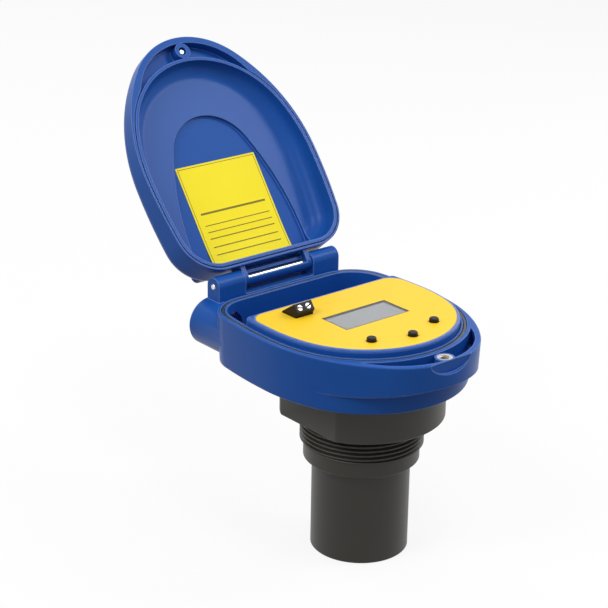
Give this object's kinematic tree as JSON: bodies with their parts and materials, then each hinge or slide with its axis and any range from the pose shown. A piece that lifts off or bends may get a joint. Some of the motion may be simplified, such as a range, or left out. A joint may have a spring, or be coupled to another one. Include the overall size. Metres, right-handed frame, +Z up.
{
  "type": "ultrasonic level transmitter",
  "caption": "Ultrasonic level transmitter: dark threaded sensor barrel under an egg-shaped blue housing with hinged lid, display, push buttons, wiring trench and conduit entry.",
  "frame": {"origin": "centre of the sensing face at the bottom of the barrel", "axes": "+Z up along the barrel to the housing, +Y back to the hinge, +X along the hinge to the side away from the conduit hub"},
  "size_m": [0.1058, 0.2144, 0.225],
  "materials": {
    "housing_blue": "satin moulded",
    "sensor_dark": "satin moulded",
    "black_rubber": "matt",
    "plate_yellow": "printed film",
    "label_yellow": "vinyl label",
    "window_clear": "clear",
    "display_grey": "satin",
    "black_plastic": "satin",
    "board_green": "solder mask",
    "steel": "polished",
    "brass": "turned",
    "copper": "tinned wire",
    "piezo": "fired",
    "epoxy": "cast"
  },
  "bodies": {
    "base": {"transducer_housing": "sensor_dark", "matching_layer": "epoxy", "piezo_disc": "piezo", "backing_block": "epoxy", "sensor_leads": "copper", "flange_seal": "black_rubber", "base_housing": "housing_blue", "flange_screws": "steel", "lid_screw_insert": "brass", "rim_gasket": "black_rubber", "deck_cover": "housing_blue", "face_plate": "plate_yellow", "display_window": "window_clear", "display_module": "display_grey", "display_header": "black_plastic", "circuit_board": "board_green", "board_screws": "steel", "tact_switches": "black_plastic", "terminal_block": "black_plastic", "terminal_screws": "steel", "hinge_pin": "steel"},
    "lid_body": {"lid": "housing_blue", "lid_label": "label_yellow"},
    "left_button": {"button_left": "black_plastic"},
    "centre_button": {"button_centre": "black_plastic"},
    "right_button": {"button_right": "black_plastic"}
  },
  "joints": [
    {"name": "lid_hinge", "type": "hinge", "parent": "base", "child": "lid_body", "pos_m": [0, 0.068, 0.1224], "axis": [1, 0, 0], "range_deg": [0, 130.5]},
    {"name": "left_button_press", "type": "slide", "parent": "base", "child": "left_button", "axis": [0, 0, -1], "range_m": [0, 0.0006], "stiffness_N_per_m": 1500, "springref_m": -0.0003},
    {"name": "centre_button_press", "type": "slide", "parent": "base", "child": "centre_button", "axis": [0, 0, -1], "range_m": [0, 0.0006], "stiffness_N_per_m": 1500, "springref_m": -0.0003},
    {"name": "right_button_press", "type": "slide", "parent": "base", "child": "right_button", "axis": [0, 0, -1], "range_m": [0, 0.0006], "stiffness_N_per_m": 1500, "springref_m": -0.0003}
  ]
}
